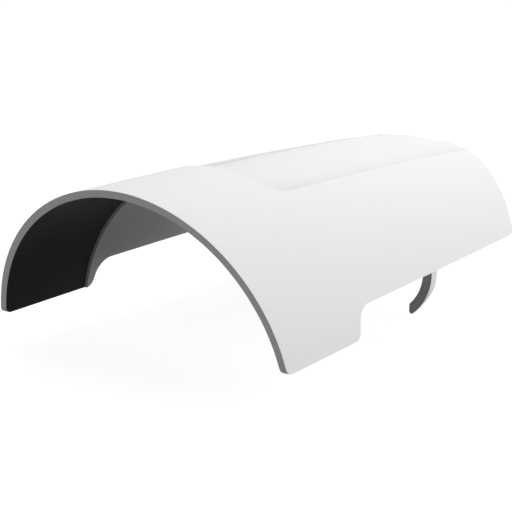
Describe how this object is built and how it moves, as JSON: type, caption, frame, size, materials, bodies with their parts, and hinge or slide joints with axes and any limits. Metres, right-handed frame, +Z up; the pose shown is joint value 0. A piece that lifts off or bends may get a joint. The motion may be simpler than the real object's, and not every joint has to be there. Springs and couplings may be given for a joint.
{
  "type": "camera sun shield",
  "caption": "Arched plastic sun shield for a bullet camera, with front side lobes, a sunken top panel, hooked clip arms and a matt black lining inside its front.",
  "frame": {"origin": "centre of the arch's circle, level with the foremost point of the front edge, which is the top of the arch", "axes": "+X across the shield to its left, seen from the camera that it covers, +Y along the camera's axis from the front opening to the back, +Z up to the top of the arch"},
  "size_m": [0.1306, 0.2152, 0.0702],
  "materials": {
    "shell_plastic": "fine matt moulded white plastic",
    "liner_black": "dead matt black, antiglare"
  },
  "bodies": {
    "root": {"shield_shell": "shell_plastic", "antiglare_liner": "liner_black"}
  },
  "joints": []
}
